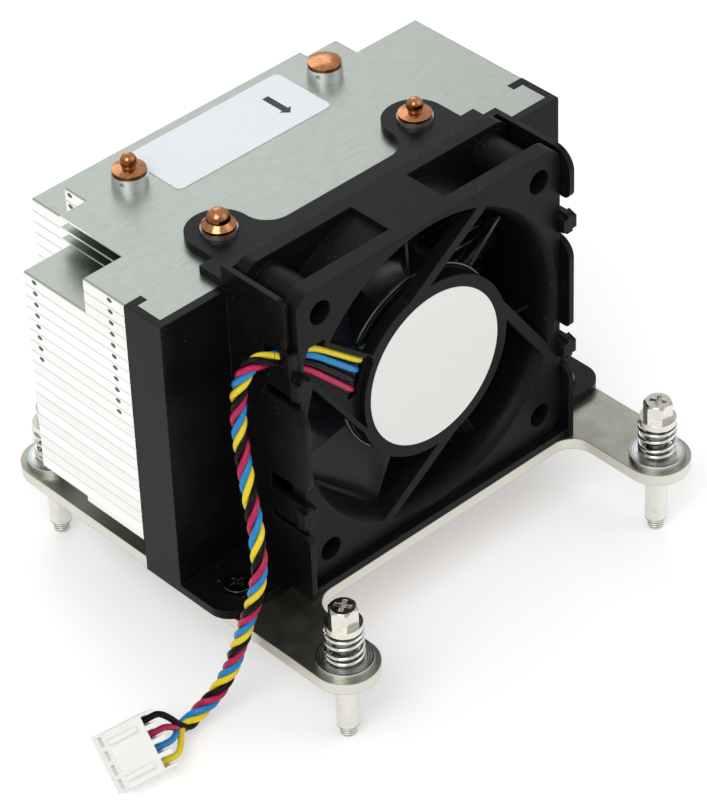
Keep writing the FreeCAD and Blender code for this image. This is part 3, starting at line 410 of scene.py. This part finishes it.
def film_finish(name, colour, light, rough=0.42):
    """Printed film: smooth, faintly mottled, with a soft edge."""
    finish = Finish(name, rough=rough, Specular_IOR_Level=0.4)
    mottle = finish.noise(1.6 * mm, 4, 0.6)
    finish.put("Base Color", finish.mix(mottle, colour, light))
    finish.put("Roughness", finish.span(mottle, 0.3, 0.7, rough - 0.05, rough + 0.05))
    finish.bump(finish.noise(5 * mm, 2), 0.03 * mm)
    return finish.material


def wire_finish(name, colour, light, gloss=0.3):
    """PVC insulation, a little mottled and glossy."""
    finish = Finish("wire_" + name, rough=0.3, Specular_IOR_Level=gloss)
    mottle = finish.noise(1.2 * mm, 3)
    finish.put("Base Color", finish.mix(mottle, colour, light))
    finish.put("Roughness", finish.span(mottle, 0.3, 0.7, 0.20, 0.30))
    finish.bump(finish.noise(0.5 * mm, 2), 0.006 * mm)
    return finish.material


def nylon_finish():
    """Moulded nylon of the plug, a little translucent."""
    finish = Finish(
        "plug_white", rough=0.36, Specular_IOR_Level=0.4, Subsurface_Weight=0.15, Subsurface_Scale=1.0 * mm
    )
    normal, _ = finish.edges(0.2 * mm)
    mottle = finish.noise(1.5 * mm, 3)
    finish.put("Base Color", finish.mix(mottle, (0.88, 0.88, 0.85), (0.93, 0.93, 0.90)))
    finish.bump(finish.noise(0.3 * mm, 2), 0.01 * mm, normal)
    return finish.material


def winding_finish():
    """Enamelled wire laid in turns round each pole, with painted shade in the valleys between turns."""
    finish = Finish("winding_copper", rough=0.3, Metallic=1.0)
    turns = finish.add(
        "ShaderNodeTexWave", {"Vector": finish.place, "Scale": 420.0, "Distortion": 0.3}, bands_direction="Y"
    ).outputs["Fac"]
    # painted shade: the valleys between turns are dark copper, the crests light
    finish.put("Base Color", finish.mix(turns, (0.28, 0.10, 0.04), (0.72, 0.36, 0.16)))
    finish.bump(turns, 0.1 * mm)
    return finish.material


def finishes():
    """Every finish by the name of its material slot, with those of the wires and the ink."""
    return {
        "fin_aluminium": fin_finish(),
        # copper's upright faces are painted darker as shade, its tops left bright
        "pipe_copper": metal_finish(
            "pipe_copper", (0.30, 0.105, 0.04), (0.86, 0.44, 0.20), 0.16, 1.0, depth=0.05,
            side=(0.22, 0.075, 0.03)
        ),
        "cold_plate_copper": metal_finish(
            "cold_plate_copper", (0.44, 0.31, 0.25), (0.54, 0.39, 0.32), 0.42, 0.3, (20, 1, 1)
        ),
        # plate's upright faces are painted pale as a reflection, and its edges get a strong painted
        # highlight
        "plate_nickel": metal_finish(
            "plate_nickel", (0.25, 0.25, 0.21), (0.40, 0.40, 0.34), 0.36, 0.28, depth=0.02, edge_wear_and_highlight=0.9,
            bevel=0.3, side=(0.70, 0.69, 0.61)
        ),
        "shroud_black": plastic_finish(
            "shroud_black", (0.0035, 0.0037, 0.004), (0.007, 0.0072, 0.0075), 0.26, gloss=0.10
        ),
        "frame_black": plastic_finish(
            "frame_black", (0.005, 0.0055, 0.006), (0.009, 0.0095, 0.010), 0.36, gloss=0.09
        ),
        "rotor_black": plastic_finish(
            "rotor_black", (0.008, 0.010, 0.013), (0.014, 0.017, 0.022), 0.16, 0.3, specks=0.1, gloss=0.3
        ),
        "rotor_gloss": plastic_finish(
            "rotor_gloss", (0.008, 0.010, 0.013), (0.014, 0.017, 0.022), 0.08, 0.3, specks=0.0, gloss=1.0
        ),
        "yoke_steel": metal_finish(
            "yoke_steel", (0.55, 0.54, 0.52), (0.70, 0.70, 0.69), 0.3, 0.4, (1, 12, 1)
        ),
        "magnet_grey": metal_finish("magnet_grey", (0.09, 0.09, 0.095), (0.15, 0.15, 0.15), 0.55, 0.2),
        "shaft_steel": metal_finish("shaft_steel", (0.62, 0.62, 0.62), (0.74, 0.74, 0.73), 0.2, 0.2),
        "bearing_bronze": metal_finish("bearing_bronze", (0.52, 0.34, 0.15), (0.68, 0.48, 0.24), 0.35, 0.25),
        "core_steel": metal_finish(
            "core_steel", (0.26, 0.26, 0.28), (0.38, 0.38, 0.39), 0.45, 0.35, (30, 1, 30)
        ),
        "winding_copper": winding_finish(),
        "board_green": plastic_finish("board_green", (0.02, 0.11, 0.05), (0.03, 0.15, 0.07), 0.3, 0.4, 0.0),
        "label_white": film_finish("label_white", (0.84, 0.85, 0.82), (0.88, 0.89, 0.86)),
        "label_blue_white": film_finish("label_blue_white", (0.74, 0.79, 0.82), (0.79, 0.835, 0.86)),
        # screw heads' rims are painted bright as a highlight
        "screw_black": metal_finish(
            "screw_black", (0.05, 0.05, 0.05), (0.16, 0.155, 0.15), 0.22, 0.3, edge_wear_and_highlight=1.0, bevel=0.2
        ),
        "plug_white": nylon_finish(),
        "terminal_tin": metal_finish("terminal_tin", (0.66, 0.65, 0.60), (0.78, 0.77, 0.73), 0.25, 0.3),
        "screw_nickel": screw_finish(),
        "spring_steel": metal_finish(
            "spring_steel", (0.66, 0.65, 0.62), (0.84, 0.83, 0.80), 0.14, 0.4, depth=0.003
        ),
        "washer_zinc": washer_finish(),
        "clip_steel": metal_finish("clip_steel", (0.34, 0.34, 0.34), (0.45, 0.45, 0.44), 0.35, 0.4),
        "yellow": wire_finish("yellow", (0.78, 0.58, 0.012), (0.86, 0.68, 0.03)),
        "black": wire_finish("black", (0.003, 0.0028, 0.003), (0.006, 0.0055, 0.006), gloss=0.12),
        "crimson": wire_finish("crimson", (0.40, 0.006, 0.055), (0.50, 0.012, 0.085)),
        "blue": wire_finish("blue", (0.005, 0.19, 0.50), (0.012, 0.27, 0.62)),
        "ink_black": film_finish("ink_black", (0.020, 0.020, 0.022), (0.030, 0.030, 0.033), 0.5),
    }


def dress_nodes(made):
    """Each CAD node gets the finish of its material slot."""
    for part in frame["record"]["subparts"]:
        slot = part["material_slot"]
        if slot == "lead_wires":
            continue
        shown = frame["nodes"][part["node"]]
        shown.data.materials.clear()
        shown.data.materials.append(made[slot])


def new_piece(name, mesh):
    """Puts a mesh into the scene as a piece of its own."""
    piece = bpy.data.objects.new(name, mesh)
    bpy.context.scene.collection.objects.link(piece)
    return piece


# ---- Wires ---------------------------------------------------------------------------
def spline_line(name, points):
    """The points of a smooth NURBS line through a route given in metres."""
    curve = bpy.data.curves.new(name, "CURVE")
    curve.dimensions = "3D"
    curve.resolution_u = 32
    spline = curve.splines.new("NURBS")
    spline.points.add(len(points) - 1)
    for knot, point in zip(spline.points, points):
        knot.co = (*point, 1.0)
    spline.order_u = 3
    spline.use_endpoint_u = True
    holder = bpy.data.objects.new(name, curve)
    bpy.context.scene.collection.objects.link(holder)
    bpy.context.view_layer.update()
    mesh = bpy.data.meshes.new_from_object(holder.evaluated_get(bpy.context.evaluated_depsgraph_get()))
    line = [vertex.co.copy() for vertex in mesh.vertices]
    bpy.data.objects.remove(holder)
    bpy.data.meshes.remove(mesh)
    return line


def evenly(line, step):
    """The same line with its points an even step apart."""
    lengths = [0.0]
    for a, b in zip(line, line[1:]):
        lengths.append(lengths[-1] + (b - a).length)
    count = max(2, round(lengths[-1] / step))
    spaced, at = [], 0
    for i in range(count + 1):
        want = lengths[-1] * i / count
        while at < len(line) - 2 and lengths[at + 1] < want:
            at += 1
        run = lengths[at + 1] - lengths[at]
        spaced.append(line[at].lerp(line[at + 1], (want - lengths[at]) / run if run else 0.0))
    return spaced


def frames_along(line, first_up):
    """Heading, up and side at each point, turned as little as possible along the line."""
    frames = []
    up = first_up
    for i in range(len(line)):
        heading = (line[min(i + 1, len(line) - 1)] - line[max(i - 1, 0)]).normalized()
        up = (up - heading * up.dot(heading)).normalized()
        frames.append((heading, up, heading.cross(up)))
    return frames


def tubes(name, lines, radius, colours, made, sides=12):
    """One mesh of round wires, each along its own line and with its own colour."""
    points, faces, paints = [], [], []
    for paint, line in enumerate(lines):
        base = len(points)
        for point, (_, up, side) in zip(line, frames_along(line, Vector((0.31, 0.17, 0.93)))):
            for k in range(sides):
                a = 2 * math.pi * k / sides
                points.append(point + (up * math.cos(a) + side * math.sin(a)) * radius)
        for i in range(len(line) - 1):
            for k in range(sides):
                a, b = base + i * sides + k, base + i * sides + (k + 1) % sides
                faces.append((a, b, b + sides, a + sides))
        faces.append(tuple(base + k for k in reversed(range(sides))))
        faces.append(tuple(base + (len(line) - 1) * sides + k for k in range(sides)))
        paints.extend([paint] * (len(faces) - len(paints)))
    mesh = bpy.data.meshes.new(name)
    mesh.from_pydata(points, [], faces)
    for colour in colours:
        mesh.materials.append(made[colour])
    mesh.polygons.foreach_set("material_index", paints)
    mesh.polygons.foreach_set("use_smooth", [len(f) == 4 for f in faces])
    piece = new_piece(name, mesh)
    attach(piece, "cooler")
    return piece


def lead(made):
    """Four wires twisted right-handed round the route's spline; gives their ends for the loose wires."""
    step = 0.35 * mm
    line = evenly(spline_line("lead_route", [Vector(p) * mm for p in lead_route]), step)
    frames = frames_along(line, Vector((0, 0, 1)))
    ring = lead_diameter / 2 - wire_radius
    strands = {colour: [] for colour in wire_colours}
    turned = 0.0
    for i, (point, (_, up, side)) in enumerate(zip(line, frames)):
        ease = min(1.0, (i + 4) / 12)
        turned += 2 * math.pi * step / twist_pitch * ease
        for k, colour in enumerate(wire_colours):
            angle = math.radians(-25 - 90 * k) + turned + 0.10 * math.sin(i / 9.0 + 1.7 * k)
            slack = 1.0 + 0.05 * math.sin(i / 13.0 + 2.1 * k)
            strands[colour].append(point + (up * math.cos(angle) + side * math.sin(angle)) * (ring * slack))
    piece = tubes("lead_strands", [strands[c] for c in wire_colours], wire_radius, wire_colours, made)
    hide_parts("fan_lead")
    starts = {c: (s[0], (s[1] - s[0]).normalized()) for c, s in strands.items()}
    ends = {c: (s[-1], (s[-1] - s[-2]).normalized()) for c, s in strands.items()}
    return piece, line, starts, ends


def hub_wires(made, starts):
    """From the circuit board, along the frame's channel and behind the bridge, into the twist."""
    behind = fan_front + 2.5 * mm
    channel = fan_front + 0.92 * mm
    under = fan_front + 1.45 * mm
    wall_x, wall_y = -30.9 * mm, fan_front + 2.6 * mm
    lines = []
    for colour in wire_colours:
        sx, sz = hub_starts[colour]
        gx, gz = hub_gates[colour]
        point, heading = starts[colour]
        rise = Vector((sx * mm, 0, fan_axis_z + sz * mm))
        gate = Vector((gx * mm, 0, fan_axis_z + gz * mm))
        route = [
            rise + Vector((0, behind, 0)),
            rise + Vector((0, channel, 0)),
            rise.lerp(gate, 0.5) + Vector((0, channel, 0)),
            rise.lerp(gate, 0.85) + Vector((0, channel, 0)),
            gate + Vector((-0.8 * mm, under, -0.1 * mm)),
            Vector((wall_x, wall_y, fan_axis_z + gz * mm)),
            point - heading * 1.4 * mm,
            point,
        ]
        lines.append(evenly(spline_line("hub_route_" + colour, route), 0.3 * mm))
    piece = tubes("hub_wire_set", lines, wire_radius, wire_colours, made)
    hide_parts("hub_wires")
    return piece


def wire_bridge(made):
    """The strip of flange over the channel's mouth and the wall's edge beside it, hiding the wires."""
    left, right = -30.0 * mm, -28.9 * mm
    low, high = 14.4 * mm, 19.3 * mm
    slant, thick, round_off = 1.5 * mm, 0.75 * mm, 0.25 * mm
    outline = [(left, low), (right, low), (right, low + 2.2 * mm), (right + slant, high), (left, high)]
    work = bmesh.new()
    for y in (fan_front, fan_front + thick):
        work.faces.new([work.verts.new((x, y, fan_axis_z + z)) for x, z in outline])
    work.faces.ensure_lookup_table()
    front, rear = work.faces[0].verts[:], work.faces[1].verts[:]
    for i in range(len(outline)):
        j = (i + 1) % len(outline)
        work.faces.new((front[i], front[j], rear[j], rear[i]))
    bmesh.ops.recalc_face_normals(work, faces=work.faces)
    facing = [edge for edge in work.edges if all(vert in front for vert in edge.verts)]
    bmesh.ops.bevel(work, geom=facing, offset=round_off, segments=3, affect="EDGES", profile=0.5)
    strip = bmesh.ops.create_cube(work, size=1.0)["verts"]
    middle = Vector((left - 0.8 * mm, fan_front + 1.6 * mm, fan_axis_z + 17.0 * mm))
    wide, deep, tall, cut_back = 1.9 * mm, 2.9 * mm, 5.2 * mm, 0.55 * mm
    for vert in strip:
        lean = cut_back if vert.co.z < 0 and vert.co.y > 0 else 0.0
        vert.co = middle + Vector((vert.co.x * wide, vert.co.y * deep - lean, vert.co.z * tall + lean))
    strip_edges = [edge for edge in work.edges if edge.verts[0] in strip and edge.verts[1] in strip]
    bmesh.ops.bevel(work, geom=strip_edges, offset=0.4 * mm, segments=3, affect="EDGES", profile=0.5)
    mesh = bpy.data.meshes.new("frame_wire_bridge")
    work.to_mesh(mesh)
    work.free()
    mesh.materials.append(made["shroud_black"])
    piece = new_piece("frame_wire_bridge", mesh)
    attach(piece, "cooler")
    return piece


def turned_ring(name, radius, thick, y, finish, body, made):
    """A ring of round section about the fan's axis."""
    points, faces = [], []
    around, across = 144, 10
    for i in range(around):
        a = 2 * math.pi * i / around
        for k in range(across):
            b = 2 * math.pi * k / across
            out = radius + thick * math.cos(b)
            points.append((out * math.cos(a), y + thick * math.sin(b), fan_axis_z + out * math.sin(a)))
    for i in range(around):
        for k in range(across):
            j, m = (i + 1) % around, (k + 1) % across
            faces.append((i * across + k, i * across + m, j * across + m, j * across + k))
    mesh = bpy.data.meshes.new(name)
    mesh.from_pydata(points, [], faces)
    mesh.polygons.foreach_set("use_smooth", [True] * len(faces))
    mesh.materials.append(made[finish])
    piece = new_piece(name, mesh)
    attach(piece, body)
    return piece


def loose_wires(made, ends):
    """The untwisted ends, fanned out to the plug's four ways."""
    place = Matrix.Translation(Vector(plug_place) * mm) @ Matrix.Rotation(
        math.radians(plug_yaw), 4, "Z"
    ) @ Matrix.Rotation(math.radians(plug_tilt), 4, "X")
    lines = []
    for colour in wire_colours:
        way = (plug_order.index(colour) - 1.5) * plug_pitch * mm
        point, heading = ends[colour]
        entry = place @ Vector((-2.9 * mm, way, 0))
        ahead = place @ Vector((2.4 * mm, way, 0))
        route = [point, point + heading * 1.8 * mm, ahead, entry.lerp(ahead, 0.5), entry]
        lines.append(evenly(spline_line("loose_route_" + colour, route), 0.3 * mm))
    piece = tubes("loose_wire_ends", lines, wire_radius, wire_colours, made)
    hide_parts("connector_wire_ends")
    return piece


# ---- Springs -------------------------------------------------------------------------
def coil(name, node, made):
    """A compression spring of round wire with closed ends, in the place of the CAD coil."""
    low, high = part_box(node)
    middle = (low + high) / 2
    wire = 0.34 * mm
    ring = (high.x - low.x) / 2 - wire
    closed, open_turns = 1.2, 2.0
    turns = 2 * closed + open_turns
    rise = (high.z - low.z) - 2 * wire
    end_rise = 2.05 * wire * closed
    line = []
    count = int(turns * 44)
    for i in range(count + 1):
        t = turns * i / count
        ends = min(t, closed) + max(0.0, t - closed - open_turns)
        part = min(max(t - closed, 0.0), open_turns) / open_turns
        z = low.z + wire + ends / closed * end_rise + part * (rise - 2 * end_rise)
        a = 2 * math.pi * t
        line.append(Vector((middle.x + ring * math.cos(a), middle.y + ring * math.sin(a), z)))
    piece = tubes(name, [line], wire, ["spring_steel"], made, sides=12)
    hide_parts(node)
    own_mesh(piece)
    return piece


# ---- Label arrow ---------------------------------------------------------------------
def airflow_arrow(made):
    """The plain arrow on the fins' label, pointing from the rear to the fan."""
    label_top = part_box("airflow_label")[1].z
    middle = 10.2 * mm
    tail, neck, tip = 30.8 * mm, 25.7 * mm, 24.3 * mm
    shaft, head = 0.7 * mm, 1.4 * mm
    outline = [
        (-shaft, tail), (-shaft, neck), (-head, neck), (0, tip), (head, neck), (shaft, neck), (shaft, tail)
    ]
    sunk, thick = 0.004 * mm, 0.008 * mm
    z = label_top - sunk
    mesh = bpy.data.meshes.new("airflow_arrow")
    count = len(outline)
    points = [(middle + x, y, z + lift) for lift in (0.0, thick) for x, y in outline]
    sides = [(i, (i + 1) % count, count + (i + 1) % count, count + i) for i in range(count)]
    mesh.from_pydata(points, [], [tuple(reversed(range(count))), tuple(range(count, 2 * count))] + sides)
    mesh.materials.append(made["ink_black"])
    piece = new_piece("airflow_arrow", mesh)
    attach(piece, "cooler")
    return piece


# ---- Making --------------------------------------------------------------------------
studio()
made = finishes()
dress_nodes(made)
strands, lead_line, lead_starts, lead_ends = lead(made)
hub_wires(made, lead_starts)
wire_bridge(made)
for name, radius, thick, behind, finish, slot in (
    ("rotor_rim", 17.15, 0.35, 0.5, "rotor_gloss", "rotor_black"),
    ("yoke_rim", 16.55, 0.25, 0.3, "bearing_bronze", "yoke_steel"),
):
    turned_ring(name, radius * mm, thick * mm, rotor_front + behind * mm, finish, "rotor", made)
loose = loose_wires(made, lead_ends)
for corner in ("front_left", "front_right", "rear_left", "rear_right"):
    coil("spring_coil_" + corner, "screw_spring_" + corner, made)
airflow_arrow(made)
